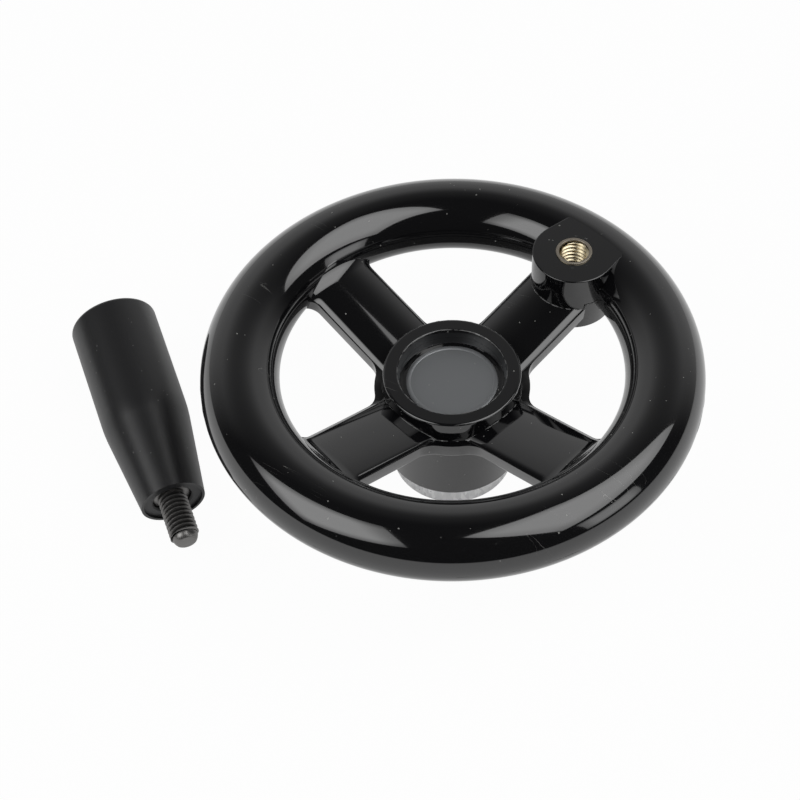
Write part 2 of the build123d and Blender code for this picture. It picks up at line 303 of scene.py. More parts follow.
def number(tree, operation, first, second=None):
    """A maths node on two sockets or numbers, and its output."""
    node = add(tree, "ShaderNodeMath", operation=operation)
    for place, value in enumerate((first, second)):
        if isinstance(value, (int, float)):
            node.inputs[place].default_value = value
        elif value is not None:
            tree.links.new(value, node.inputs[place])
    return node.outputs[0]


def ramp(tree, value, low, high, floor_value=0.0, ceiling=1.0):
    """A smooth step from one value to another."""
    node = add(tree, "ShaderNodeMapRange", interpolation_type="SMOOTHSTEP")
    settings = {"From Min": low, "From Max": high, "To Min": floor_value, "To Max": ceiling}
    for label, setting in settings.items():
        node.inputs[label].default_value = setting
    tree.links.new(value, node.inputs["Value"])
    return node.outputs["Result"]


dust, given, gives = group("dust_specks", {"Spacing": 900.0, "Share": 0.3, "Size": 0.2}, {"Mask": "Float"})
place = add(dust, "ShaderNodeTexCoord")
cells = add(dust, "ShaderNodeTexVoronoi", feature="F1")
drift = add(dust, "ShaderNodeTexNoise")
drift.inputs["Scale"].default_value = 70.0
linked(
    dust,
    (place.outputs["Object"], cells.inputs["Vector"]), (given.outputs["Spacing"], cells.inputs["Scale"]),
    (place.outputs["Object"], drift.inputs["Vector"]),
)
pick = add(dust, "ShaderNodeSeparateColor")
dust.links.new(cells.outputs["Color"], pick.inputs[0])
kept_share = number(dust, "MULTIPLY", given.outputs["Share"], drift.outputs[0])
kept = number(dust, "LESS_THAN", pick.outputs[0], kept_share)
speck_size = number(dust, "MULTIPLY", given.outputs["Size"], pick.outputs[1])
speck = number(dust, "LESS_THAN", cells.outputs["Distance"], speck_size)
dust.links.new(number(dust, "MULTIPLY", kept, speck), gives.inputs["Mask"])

scratches, given, gives = group(
    "fine_scratches", {"Scale": 40.0, "Width": 0.004, "Turn": 0.6}, {"Mask": "Float"},
)
place = add(scratches, "ShaderNodeTexCoord")
turn = add(scratches, "ShaderNodeVectorRotate", rotation_type="Z_AXIS")
stretch = add(scratches, "ShaderNodeMapping")
stretch.inputs["Scale"].default_value = (0.5, 12.0, 3.0)
grain = add(scratches, "ShaderNodeTexNoise")
grain.inputs["Detail"].default_value = 1.0
patch = add(scratches, "ShaderNodeTexNoise")
patch.inputs["Scale"].default_value = 55.0
linked(
    scratches,
    (place.outputs["Object"], turn.inputs["Vector"]), (given.outputs["Turn"], turn.inputs["Angle"]),
    (turn.outputs[0], stretch.inputs["Vector"]), (stretch.outputs[0], grain.inputs["Vector"]),
    (given.outputs["Scale"], grain.inputs["Scale"]), (place.outputs["Object"], patch.inputs["Vector"]),
)
off_middle = number(scratches, "ABSOLUTE", number(scratches, "SUBTRACT", grain.outputs[0], 0.5))
line = number(scratches, "LESS_THAN", off_middle, given.outputs["Width"])
scratched_patch = ramp(scratches, patch.outputs[0], 0.6, 0.68)
scratches.links.new(number(scratches, "MULTIPLY", line, scratched_patch), gives.inputs["Mask"])

ripple, given, gives = group("moulded_ripple", {"Scale": 120.0, "Depth": 0.002}, {"Height": "Float"})
place = add(ripple, "ShaderNodeTexCoord")
swell = add(ripple, "ShaderNodeTexNoise")
swell.inputs["Detail"].default_value = 1.0
linked(
    ripple,
    (place.outputs["Object"], swell.inputs["Vector"]), (given.outputs["Scale"], swell.inputs["Scale"]),
)
ripple_height = number(ripple, "MULTIPLY", swell.outputs[0], given.outputs["Depth"])
ripple.links.new(ripple_height, gives.inputs["Height"])
print("effects", [tree.name for tree in (dust, scratches, ripple)])

# %% [markdown]
# ## Materials
# The moulding is a glossy black thermoset, the handle a duller black. The slug is zinc-plated
# steel with a soft spangle. The insert is turned brass, dulled on its face, and the spindle dark
# steel, darker still in the roots of its thread. Scuffed black is the bare resin where flash broke
# off, and it is also laid as painted highlight along the boss's foot and the collar's top edge.
# Dust is pale and rough on all of them, so it dims the mirror where it lies.

# %% Materials
def finish(name, colour, rough, metal=0.0, ior=1.5, coat=0.0, dust_share=0.3,
           dust_colour=(0.2, 0.2, 0.19), ripple_depth=0.0, ripple_scale=120.0, scratch_width=0.0,
           extra_rough=0.35):
    """A material with dust, scratches and ripple over one base finish."""
    made = empty_material(name)
    tree = made.node_tree
    shader = add(tree, "ShaderNodeBsdfPrincipled")
    shader.inputs["Metallic"].default_value = metal
    shader.inputs["IOR"].default_value = ior
    shader.inputs["Coat Weight"].default_value = coat
    shader.inputs["Coat Roughness"].default_value = 0.03
    out = add(tree, "ShaderNodeOutputMaterial")
    specks = use_group(tree, dust, Spacing=1300.0, Share=dust_share, Size=0.24)
    lines = use_group(tree, scratches, Width=scratch_width)
    faint_lines = number(tree, "MULTIPLY", lines.outputs["Mask"], 0.5)
    marks = number(tree, "MAXIMUM", specks.outputs["Mask"], faint_lines)
    tint = add(tree, "ShaderNodeMix", data_type="RGBA", name="tint")
    tint.inputs["A"].default_value = (*colour, 1)
    tint.inputs["B"].default_value = (*dust_colour, 1)
    swell = use_group(tree, ripple, Scale=ripple_scale, Depth=ripple_depth)
    bump = add(tree, "ShaderNodeBump")
    bump.inputs["Distance"].default_value = MM
    rougher_marks = ramp(tree, marks, 0.0, 1.0, rough, rough + extra_rough)
    linked(
        tree,
        (marks, tint.inputs["Factor"]), (tint.outputs["Result"], shader.inputs["Base Color"]),
        (rougher_marks, shader.inputs["Roughness"]), (swell.outputs["Height"], bump.inputs["Height"]),
        (bump.outputs["Normal"], shader.inputs["Normal"]), (shader.outputs[0], out.inputs[0]),
    )
    return made


resin_ior = 1.6
gloss_black = finish(
    "gloss_black", (0.004, 0.004, 0.0046), 0.07, ior=resin_ior, coat=0.8, dust_share=0.1,
    ripple_depth=0.012, ripple_scale=95.0, scratch_width=0.0022,
)
satin_black = finish(
    "satin_black", (0.012, 0.012, 0.013), 0.36, ior=resin_ior, dust_share=0.22,
    dust_colour=(0.09, 0.09, 0.09), ripple_depth=0.02, ripple_scale=500.0, extra_rough=0.2,
)
bush_black = finish(
    "bush_black", (0.03, 0.03, 0.032), 0.42, dust_share=0.4, ripple_depth=0.02, ripple_scale=700.0,
)
dark_steel = finish(
    "dark_steel", (0.22, 0.215, 0.21), 0.36, metal=0.9, dust_share=0.2, ripple_depth=0.03,
    ripple_scale=900.0,
)
brass = finish(
    "brass", (0.78, 0.68, 0.47), 0.3, metal=1.0, dust_share=0.25, dust_colour=(0.25, 0.2, 0.12),
    ripple_depth=0.03, ripple_scale=900.0,
)
dull_brass = finish(
    "dull_brass", (0.33, 0.295, 0.245), 0.5, metal=0.8, dust_share=0.4, ripple_depth=0.05,
    ripple_scale=900.0,
)
root_dark_steel = finish("root_dark_steel", (0.035, 0.034, 0.033), 0.55, metal=0.4)
# Pale bare resin of broken flash, also used as painted highlight along two edges.
flash_and_highlight_black = finish(
    "flash_and_highlight_black", (0.11, 0.11, 0.11), 0.5, dust_share=0.8, dust_colour=(0.3, 0.3, 0.3),
)

# Zinc plating: flat crystals, each a little lighter or darker than the next. The slug's upper end
# was faced in a lathe after plating, so it is plain steel. Its colour is painted darker still, as
# painted shade for a face that mirrors the dark room overhead.
dark_crystal, light_crystal, faced_and_shaded_steel = (0.7, 0.7, 0.71), (0.93, 0.93, 0.93), (0.3, 0.31, 0.32)
faced_and_shaded_above = 23.5
zinc_steel = finish(
    "zinc_steel", dark_crystal, 0.46, metal=0.85, dust_share=0.15, dust_colour=(0.45, 0.45, 0.45),
    extra_rough=0.2,
)
tree = zinc_steel.node_tree
place = add(tree, "ShaderNodeTexCoord")
stretch = add(tree, "ShaderNodeMapping")
stretch.inputs["Scale"].default_value = (1.0, 1.0, 0.35)
crystals = add(tree, "ShaderNodeTexVoronoi", feature="F1")
crystals.inputs["Scale"].default_value = 1500.0
pick = add(tree, "ShaderNodeSeparateColor")
shade = add(tree, "ShaderNodeMix", data_type="RGBA")
height = add(tree, "ShaderNodeSeparateXYZ")
turned = add(tree, "ShaderNodeMix", data_type="RGBA")
turned.inputs["B"].default_value = (*faced_and_shaded_steel, 1)
shade.inputs["A"].default_value = (*dark_crystal, 1)
shade.inputs["B"].default_value = (*light_crystal, 1)
linked(
    tree,
    (place.outputs["Object"], stretch.inputs["Vector"]), (stretch.outputs[0], crystals.inputs["Vector"]),
    (crystals.outputs["Color"], pick.inputs[0]), (pick.outputs[0], shade.inputs["Factor"]),
    (shade.outputs["Result"], turned.inputs["A"]),
    (turned.outputs["Result"], tree.nodes["tint"].inputs["A"]),
    (place.outputs["Object"], height.inputs[0]),
)
# Painted shade: above this height the slug takes the darker steel colour.
faced_and_shaded = number(tree, "GREATER_THAN", height.outputs["Z"], faced_and_shaded_above * MM)
tree.links.new(faced_and_shaded, turned.inputs["Factor"])
paint = {
    "wheel": gloss_black, "hub_slug": zinc_steel, "thread_insert": brass, "grip": satin_black,
    "retaining_bush": bush_black, "spindle": dark_steel,
}
for name, node in nodes.items():
    node.data.materials.clear()
    node.data.materials.append(paint[name])
print("materials", [made.name for made in paint.values()])

# %% [markdown]
# ## Spokes
# Each spoke has a strongly crowned top and wide bevels that stand on the mould's parting line, and
# the top sweeps up into the rim. These faces carry most of the reflections. They are made here as
# fine grids, because a mirror shows every facet, and laid over the moulding's own spokes, whose
# upper faces are sunk a little out of the way. The merged copy stands for the CAD wheel, which
# stays for contact.

# %% Spoke surface
PARTING = 28.5
RIM_INNER = 34.23
RIM_CENTRE = 42.13
RIM_HALF = 7.9
RIM_UPPER = 7.55
COLLAR = 13.8
SPOKE_HALF = 7.42               # half the spoke's width at the parting line
BEVEL_LEAN = 1.19               # how far a bevel leans in over the spoke, per mm of height
CROWN = 21.0                    # radius of the crown across a spoke
TOP_AT_COLLAR = 24.8
TOP_SLOPE = 0.279
SWEEP_CENTRE = (30.80, 34.98)   # the top sweeps up round this point, tangent to the rim
SWEEP_RADIUS = 5.24
SWEEP_START = 32.21
SWEEP_END = 35.29
RIM_CORNER = (31.28, 10.62, 3.2)    # centre and radius of a window's rounded corner at the rim
HUB_CORNER = (12.98, 10.02, 2.6)
BEVEL_FOOT, FOOT_REACH, FOOT_SLOPE = 23.426, 15.0, 0.2749    # the bevels' lower edge, at a reach
EDGE_ROUND = 0.22               # how softly the crown turns into a bevel


def parting_at(radius):
    """Height of the mould's parting line at a radius, in millimetres."""
    return PARTING - 0.29 * (RIM_INNER - radius)


def oval_at(radius):
    """Height of the rim's upper side at a radius."""
    return PARTING + RIM_UPPER * math.sqrt(max(0.0, 1 - ((radius - RIM_CENTRE) / RIM_HALF) ** 2))


def side_at(reach):
    """Half width of a spoke at its parting line, with its rounded corners at both ends."""
    centre, offset, fillet = RIM_CORNER if reach > RIM_CORNER[0] else HUB_CORNER
    if HUB_CORNER[0] <= reach <= RIM_CORNER[0]:
        return SPOKE_HALF
    run = min(abs(reach - centre), fillet * 0.8)
    return offset - math.sqrt(fillet**2 - run**2)


def rounded_lower(a, b, width):
    """The lower of two heights, rounded where they cross."""
    near = max(width - abs(a - b), 0.0) / width
    return min(a, b) - near * near * width / 4


def spoke_surface(reach, across):
    """Height of a spoke's upper surface at a place on it."""
    side = abs(across)
    radius = math.hypot(reach, side)
    top = TOP_AT_COLLAR + TOP_SLOPE * (reach - COLLAR)
    if reach > SWEEP_START:
        run = min(reach, SWEEP_END) - SWEEP_CENTRE[0]
        top = SWEEP_CENTRE[1] - math.sqrt(SWEEP_RADIUS**2 - run**2)
    top -= CROWN - math.sqrt(CROWN**2 - side**2)
    inside, foot = SPOKE_HALF - side, BEVEL_FOOT + FOOT_SLOPE * (reach - FOOT_REACH)
    for (centre, offset, fillet), beyond in (
        (RIM_CORNER, reach > RIM_CORNER[0]), (HUB_CORNER, reach < HUB_CORNER[0]),
    ):
        if beyond:
            inside = math.hypot(reach - centre, offset - side) - fillet
    height = rounded_lower(top, foot + inside / BEVEL_LEAN, EDGE_ROUND)
    if radius > SWEEP_END:
        height = min(height, oval_at(radius) - 0.05)
    return height


print("top at the collar and rim", round(spoke_surface(14, 0), 2), round(spoke_surface(34, 0), 2))

# %% Take the mirror faces off the moulding
BOSS_REACH, BOSS_RADIUS, BOSS_TOP, BOSS_BOTTOM = 34.7, 8.45, 36.054, 22.4
BOSS_TAIL_REACH, BOSS_TAIL_RADIUS = 42.7, 7.3
COLLAR_TOP = 27.5
RIM_LOWER = 5.7
spoke_azimuths = [math.radians(44 + 90 * k) for k in range(4)]
boss_azimuth = spoke_azimuths[0]


def on_spoke(place, azimuth):
    """A point's reach and its place across one spoke, in millimetres."""
    x, y = place.x / MM, place.y / MM
    return x * math.cos(azimuth) + y * math.sin(azimuth), y * math.cos(azimuth) - x * math.sin(azimuth)


def on_rim(place):
    """Whether a point lies on the rim's oval."""
    radius, height = math.hypot(place.x, place.y) / MM, place.z / MM - PARTING
    tall = RIM_UPPER if height > 0 else RIM_LOWER
    return abs(math.hypot((radius - RIM_CENTRE) / RIM_HALF, height / tall) - 1) < 0.006


def on_collar(place):
    """Whether a point lies on the collar's wall, edge, top or recess."""
    radius, height = math.hypot(place.x, place.y) / MM, place.z / MM
    return height > 22.5 and (abs(radius - COLLAR) < 0.03 or (radius < COLLAR and height > 24.5))


def on_boss(place):
    """Whether a point lies on the boss, its wall or its flat."""
    reach, across = on_spoke(place, boss_azimuth)
    height = place.z / MM
    if height > BOSS_TOP - 0.8 and 25 < reach < 42.5 and math.hypot(reach, across) < 42.3:
        return True
    if math.hypot(reach - BOSS_REACH, across) < 4.5:
        return False
    tilt = math.asin((BOSS_RADIUS - BOSS_TAIL_RADIUS) / (BOSS_TAIL_REACH - BOSS_REACH))
    if reach < BOSS_REACH + BOSS_RADIUS * math.sin(tilt):
        return abs(math.hypot(reach - BOSS_REACH, across) - BOSS_RADIUS) < 0.04
    wall = (reach - BOSS_REACH) * math.sin(tilt) + abs(across) * math.cos(tilt)
    return abs(wall - BOSS_RADIUS) < 0.04 and reach < 43


bm = bmesh.new()
bm.from_mesh(nodes["wheel"].data)
bmesh.ops.remove_doubles(bm, verts=bm.verts, dist=1e-6)
print("merged wheel", len(bm.verts), len(bm.faces))
for lies_on in (on_rim, on_collar, on_boss):
    marked = {vert for vert in bm.verts if lies_on(vert.co)}
    faces = [face for face in bm.faces if all(vert in marked for vert in face.verts)]
    bmesh.ops.delete(bm, geom=faces, context="FACES")
    print("taken off", lies_on.__name__, len(faces))

# %% Sink the moulded spokes' upper faces
sink = 0.4


def upper_faces(azimuth):
    """The faces of one spoke's upper side, from the collar to the rim's slope."""
    found = []
    for face in bm.faces:
        centre = face.calc_center_median()
        reach, across = on_spoke(centre, azimuth)
        radius, height = math.hypot(reach, across), centre.z / MM
        if COLLAR - 0.3 < radius < 36.2 and reach > 8 and abs(across) < 9:
            if parting_at(radius) + 0.02 < height < 33.0 and face.normal.z > 0.05:
                found.append(face)
    return found


for azimuth in spoke_azimuths:
    along = Vector((math.cos(azimuth), math.sin(azimuth), 0))
    sideways = Vector((-along.y, along.x, 0))
    cuts = [(sideways, offset) for offset in (-6.8, -6, -4, -2, 0, 2, 4, 6, 6.8)]
    cuts += [(along, offset) for offset in (16, 20, 24, 28, 31.5, 32.5, 33.5, 34.5)]
    for normal, offset in cuts:
        faces = upper_faces(azimuth)
        edges = {edge for face in faces for edge in face.edges}
        verts = {vert for face in faces for vert in face.verts}
        bmesh.ops.bisect_plane(
            bm, geom=[*verts, *edges, *faces], dist=1e-7, plane_co=normal * offset * MM, plane_no=normal,
        )
    sunk = 0
    for vert in {vert for face in upper_faces(azimuth) for vert in face.verts}:
        reach, across = on_spoke(vert.co, azimuth)
        radius, height = math.hypot(reach, across), vert.co.z / MM
        lowest = parting_at(radius) if radius < RIM_INNER else PARTING
        settled = max(lowest, min(height, spoke_surface(reach, across) - sink))
        if settled < height:
            vert.co.z = settled * MM
            sunk += 1
    print("spoke at", round(math.degrees(azimuth)), "degrees: sunk", sunk)
bmesh.ops.triangulate(bm, faces=[face for face in bm.faces if len(face.verts) > 4])
cast_wheel = piece_from(bm, "cast_wheel", "handwheel", "gloss_black", 28)
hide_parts("wheel")
cast_wheel.data.materials.append(paint["wheel"])

# %% [markdown]
# ## Rim, collar and boss
# The rim is an oval spun once round the axis, flatter below the parting line than above it. The
# collar is spun too. The boss is the hull of two round posts with its top edge bevelled, and a
# hole is left in its flat for the insert.

# %% Spin the rim and the collar
def spun(points, name, steps, closed, **facts):
    """Spin a section of (radius, height) points in millimetres round the wheel's axis."""
    bm = bmesh.new()
    verts = [bm.verts.new((radius * MM, 0, height * MM)) for radius, height in points]
    pairs = list(zip(verts, verts[1:])) + ([(verts[-1], verts[0])] if closed else [])
    edges = [bm.edges.new(pair) for pair in pairs]
    bmesh.ops.spin(
        bm, geom=verts + edges, cent=(0, 0, 0), axis=(0, 0, 1), angle=math.tau, steps=steps, use_merge=True,
    )
    bmesh.ops.remove_doubles(bm, verts=bm.verts, dist=1e-7)
    bmesh.ops.recalc_face_normals(bm, faces=bm.faces)
    return piece_from(bm, name, "handwheel", **facts)


rim_points, rim_steps, rim_skin = 120, 320, 0.01
rim_section = []
for step in range(rim_points):
    turn = math.tau * step / rim_points
    tall = RIM_UPPER if math.sin(turn) > 0 else RIM_LOWER
    rim_section.append((
        RIM_CENTRE + (RIM_HALF - 2 * rim_skin) * math.cos(turn) + rim_skin,
        PARTING + (tall + rim_skin) * math.sin(turn),
    ))
rim = spun(rim_section, "rim", rim_steps, True, slot="gloss_black", sharp_angle=40)

collar_wall, collar_foot = COLLAR + 0.02, 22.0
edge_radius, edge_steps = 0.5, 6
collar_section = [(collar_wall + 0.01, collar_foot), (collar_wall, COLLAR_TOP - edge_radius)]
for step in range(1, edge_steps + 1):
    turn = math.pi / 2 * step / edge_steps
    collar_section.append((
        collar_wall - edge_radius * (1 - math.cos(turn)), COLLAR_TOP - edge_radius * (1 - math.sin(turn)),
    ))
collar_section += [(11.12, COLLAR_TOP), (10.95, COLLAR_TOP - 0.08), (10.86, COLLAR_TOP - 0.28)]
collar_section += [(10.0, 24.7), (9.9, 24.42)]      # the recess runs down to the slug's face
collar = spun(collar_section, "collar", 256, False, slot="gloss_black", sharp_angle=45)

# The insert's bore runs down through the rim, so the rim's surface is opened there.
bore_clear, bore_low, bore_high = 7, 22.9, BOSS_TOP - 0.15
bm = bmesh.new()
bm.from_mesh(rim.data)
in_the_bore = []
for face in bm.faces:
    centre = face.calc_center_median()
    reach, across = on_spoke(centre, boss_azimuth)
    if math.hypot(reach - BOSS_REACH, across) < bore_clear and bore_low < centre.z / MM < bore_high:
        in_the_bore.append(face)
bmesh.ops.delete(bm, geom=in_the_bore, context="FACES")
bm.to_mesh(rim.data)
bm.free()
for piece in (rim, collar):
    piece.data.materials.append(paint["wheel"])
    print(piece.name, len(piece.data.polygons))

# %% Raise the boss
boss_end = 41.8         # the boss is cut off here, inside the rim
top_bevel = 0.22
insert_hole = 3.72
bm = bmesh.new()
deep = (BOSS_TOP - BOSS_BOTTOM) * MM
for reach, radius in ((BOSS_REACH, BOSS_RADIUS), (BOSS_TAIL_REACH, BOSS_TAIL_RADIUS)):
    place = Matrix.Translation((reach * MM, 0, (BOSS_TOP + BOSS_BOTTOM) / 2 * MM))
    bmesh.ops.create_cone(
        bm, cap_ends=True, segments=128, radius1=radius * MM, radius2=radius * MM, depth=deep, matrix=place,
    )
hull = bmesh.ops.convex_hull(bm, input=bm.verts)
bmesh.ops.delete(bm, geom=list({*hull["geom_interior"], *hull["geom_unused"]}), context="VERTS")
bmesh.ops.dissolve_limit(bm, angle_limit=math.radians(0.5), verts=bm.verts, edges=bm.edges)
bmesh.ops.bisect_plane(
    bm, geom=[*bm.verts, *bm.edges, *bm.faces], plane_co=(boss_end * MM, 0, 0), plane_no=(1, 0, 0),
    clear_outer=True,
)
flat = [face for face in bm.faces if face.normal.z > 0.99]
top_edges = [
    edge for face in flat for edge in face.edges
    if not all(abs(vert.co.x - boss_end * MM) < 1e-6 for vert in edge.verts)
]
bmesh.ops.bevel(
    bm, geom=top_edges, offset=top_bevel * MM, segments=4, profile=0.5, affect="EDGES", material=-1,
)
flat = [face for face in bm.faces if face.normal.z > 0.9999]
bmesh.ops.delete(bm, geom=flat, context="FACES_ONLY")
hole_place = Matrix.Translation((BOSS_REACH * MM, 0, BOSS_TOP * MM))
hole = bmesh.ops.create_circle(bm, segments=96, radius=insert_hole * MM, matrix=hole_place)
loops = [
    edge for edge in bm.edges
    if all(abs(vert.co.z - BOSS_TOP * MM) < 1e-6 for vert in edge.verts) and len(edge.link_faces) < 2
]
bmesh.ops.triangle_fill(bm, edges=loops, use_beauty=True, normal=(0, 0, 1))
bmesh.ops.remove_doubles(bm, verts=bm.verts, dist=1e-7)
bmesh.ops.recalc_face_normals(bm, faces=bm.faces)
bm.normal_update()
upside_down = [face for face in bm.faces if face.normal.z < -0.99 and face.calc_center_median().z > 0.03]
bmesh.ops.reverse_faces(bm, faces=upside_down)
bmesh.ops.rotate(bm, verts=bm.verts, cent=(0, 0, 0), matrix=Matrix.Rotation(boss_azimuth, 3, "Z"))
boss = piece_from(bm, "boss", "handwheel", "gloss_black", 28)
boss.data.materials.append(paint["wheel"])
print("boss", len(boss.data.polygons), "hole", len(hole["verts"]))

# %% [markdown]
# ## Spoke faces
# A fine grid lies over each spoke, with more rows near its edges, where the surface turns fastest.
# Its outermost rows hang down a little, as a hem that meets the moulding below. No grid is kept
# inside the boss.

# %% Lay the mirror-smooth upper faces
bm = bmesh.new()
lengthwise, crosswise, crowding = 88, 60, 0.8
start_reach, end_reach = 11.2, 37.0
hem, under_boss = 0.12, 0.6
for azimuth in spoke_azimuths:
    made = bmesh.ops.create_grid(bm, x_segments=lengthwise, y_segments=crosswise, size=1.0)
    for vert in made["verts"]:
        reach = start_reach + (end_reach - start_reach) * (vert.co.x + 1) / 2
        share = math.copysign(abs(vert.co.y) ** crowding, vert.co.y)
        across = side_at(reach) * share
        height = spoke_surface(reach, across)
        if abs(vert.co.y) > 0.999:
            height -= hem
        vert.co = Vector((reach, across, height)) * MM
    bmesh.ops.rotate(bm, verts=made["verts"], cent=(0, 0, 0), matrix=Matrix.Rotation(azimuth, 3, "Z"))
inside_boss = []
for face in bm.faces:
    reach, across = on_spoke(face.calc_center_median(), boss_azimuth)
    in_post = math.hypot(reach - BOSS_REACH, across) < BOSS_RADIUS - under_boss
    if in_post or (reach > BOSS_REACH and abs(across) < 6):
        inside_boss.append(face)
bmesh.ops.delete(bm, geom=inside_boss, context="FACES")
bmesh.ops.recalc_face_normals(bm, faces=bm.faces)
if sum(face.normal.z for face in bm.faces) < 0:
    bmesh.ops.reverse_faces(bm, faces=bm.faces)
spoke_faces = piece_from(bm, "spoke_faces", "handwheel", "gloss_black", 60)
spoke_faces.data.materials.append(paint["wheel"])
print("spoke faces", len(spoke_faces.data.polygons))

# %% [markdown]
# ## Threads
# Both the insert and the stud carry an M6 thread of 1 mm pitch. One turn's worth of the V-shaped
# flank is spun round the axis while it climbs by one pitch per turn, as a screw-cutting lathe does.
# The ends are trimmed square. Each new piece stands for its plain CAD node.

# %% Cut threads
PITCH = 1.0


def helix(bm, radii, start, turns, steps=56):
    """Spin a V flank (root, crest) up a helix about Z, and trim it level at both ends."""
    outer, inner = radii
    halfway = (outer + inner) / 2
    flank = [
        (outer, 0.0), (outer, 0.13), (halfway, 0.3), (inner, 0.47), (inner, 0.66), (halfway, 0.83),
        (outer, 1.0),
    ]
    below = start - PITCH
    verts = [bm.verts.new((radius * MM, 0, (below + rise * PITCH) * MM)) for radius, rise in flank]
    edges = [bm.edges.new(pair) for pair in zip(verts, verts[1:])]
    whole = turns + 2
    bmesh.ops.spin(
        bm, geom=verts + edges, cent=(0, 0, 0), axis=(0, 0, 1), dvec=(0, 0, PITCH * MM / steps),
        angle=math.tau * whole, steps=steps * whole, use_merge=False,
    )
    bmesh.ops.remove_doubles(bm, verts=bm.verts, dist=2e-7)
    for height, side in ((start, -1), (start + turns * PITCH, 1)):
        bmesh.ops.bisect_plane(
            bm, geom=[*bm.verts, *bm.edges, *bm.faces], plane_co=(0, 0, height * MM), plane_no=(0, 0, side),
            clear_outer=True,
        )


def lathe(bm, points, steps=96):
    """Spin a section of (radius, height) points about Z beside what is already there."""
    verts = [bm.verts.new((radius * MM, 0, height * MM)) for radius, height in points]
    edges = [bm.edges.new(pair) for pair in zip(verts, verts[1:])]
    bmesh.ops.spin(
        bm, geom=verts + edges, cent=(0, 0, 0), axis=(0, 0, 1), angle=math.tau, steps=steps, use_merge=True,
    )


INSERT_TOP = 36.35
insert_turns, insert_root = 9, 3.02
bm = bmesh.new()
helix(bm, (insert_root, 2.5), INSERT_TOP - 0.42 - insert_turns, insert_turns)
bmesh.ops.recalc_face_normals(bm, faces=bm.faces)
inward = sum(face.normal.dot(Vector((*face.calc_center_median().xy, 0))) for face in bm.faces)
if inward > 0:
    bmesh.ops.reverse_faces(bm, faces=bm.faces)
thread_faces = set(bm.faces)
lathe(bm, [(0.0, 24.8), (2.5, 25.4), (insert_root, 26.9), (insert_root, 27.0)])
insert_neck, insert_body = 3.7, 4.3
lathe(bm, [(radius, INSERT_TOP - depth) for radius, depth in (
    (insert_root, 0.46), (insert_root, 0.4), (2.98, 0.3), (3.06, 0.06), (3.14, 0), (3.52, 0),
    (3.66, 0.05), (insert_neck, 0.16), (insert_neck, 2.2), (insert_body, 2.2), (insert_body, 12.6),
    (0.0, 12.6),
)])
bmesh.ops.remove_doubles(bm, verts=bm.verts, dist=1e-7)
for face in bm.faces:
    if face in thread_faces:
        continue
    centre = face.calc_center_median()
    face.normal_update()
    radius = centre.xy.length / MM
    bore = radius < 3.1 and centre.z / MM > 24.5
    away = face.normal.dot(Vector((*centre.xy, 0)).normalized()) if radius > 0.1 else 0
    wrong = away > 0 if bore and abs(away) > 0.3 else (away < 0 if abs(away) > 0.3 else False)
    if abs(away) <= 0.3:
        wrong = face.normal.z < 0 if centre.z / MM > INSERT_TOP - 1 or bore else face.normal.z > 0
        if 34 < centre.z / MM < 34.3:
            wrong = face.normal.z < 0
    if wrong:
        face.normal_flip()
boss_place = Vector((math.cos(boss_azimuth), math.sin(boss_azimuth), 0)) * BOSS_REACH * MM
bmesh.ops.translate(bm, verts=bm.verts, vec=boss_place)
insert = piece_from(bm, "insert", "handwheel", "brass", 50)
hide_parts("thread_insert")
insert.data.materials.append(brass)
insert.data.materials.append(dull_brass)
for face in insert.data.polygons:
    face.material_index = int(face.center.z / MM > INSERT_TOP - 0.3)
print("insert", len(insert.data.polygons))

# %% [markdown]
# ## Slug
# The slug is the end of a steel bar, broad where it stands out under the hub and narrower inside
# the moulding. Its face is turned flat, and the tool has left a low bead round it.

# %% Turn the slug
SLUG_FACE = 24.43
SLUG_RADIUS, SLUG_STEP = 12.3, 7.4      # it narrows at this height, just inside the hub
slug_section = [
    (0.0, 0.0), (11.8, 0.0), (12.1, 0.12), (SLUG_RADIUS, 0.5), (SLUG_RADIUS, SLUG_STEP),
    (10.5, SLUG_STEP + 0.05), (9.2, 20.4), (9.25, SLUG_FACE - 0.12),
]
bead_reach, bead_half, bead_height, bead_points = 8.75, 0.46, 0.1, 9
for step in range(bead_points):
    along = 1 - 2 * step / (bead_points - 1)
    rise = bead_height * (1 - along * along)
    slug_section.append((bead_reach + bead_half * along, SLUG_FACE + rise))
slug_section.append((0.0, SLUG_FACE))
bm = bmesh.new()
lathe(bm, slug_section, 160)
bmesh.ops.remove_doubles(bm, verts=bm.verts, dist=1e-7)
bmesh.ops.recalc_face_normals(bm, faces=bm.faces)
slug = piece_from(bm, "slug", "handwheel", "zinc_steel", 32)
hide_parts("hub_slug")
slug.data.materials.append(zinc_steel)
print("slug", len(slug.data.polygons))

# %% [markdown]
# ## Spindle
# The spindle is turned about its own axis, its thread uppermost: a head inside the grip, a plain
# shank, a relief groove, the thread and a rounded tip. Then it is laid down where the handle lies,
# with the axis pointing out of the grip's mouth.

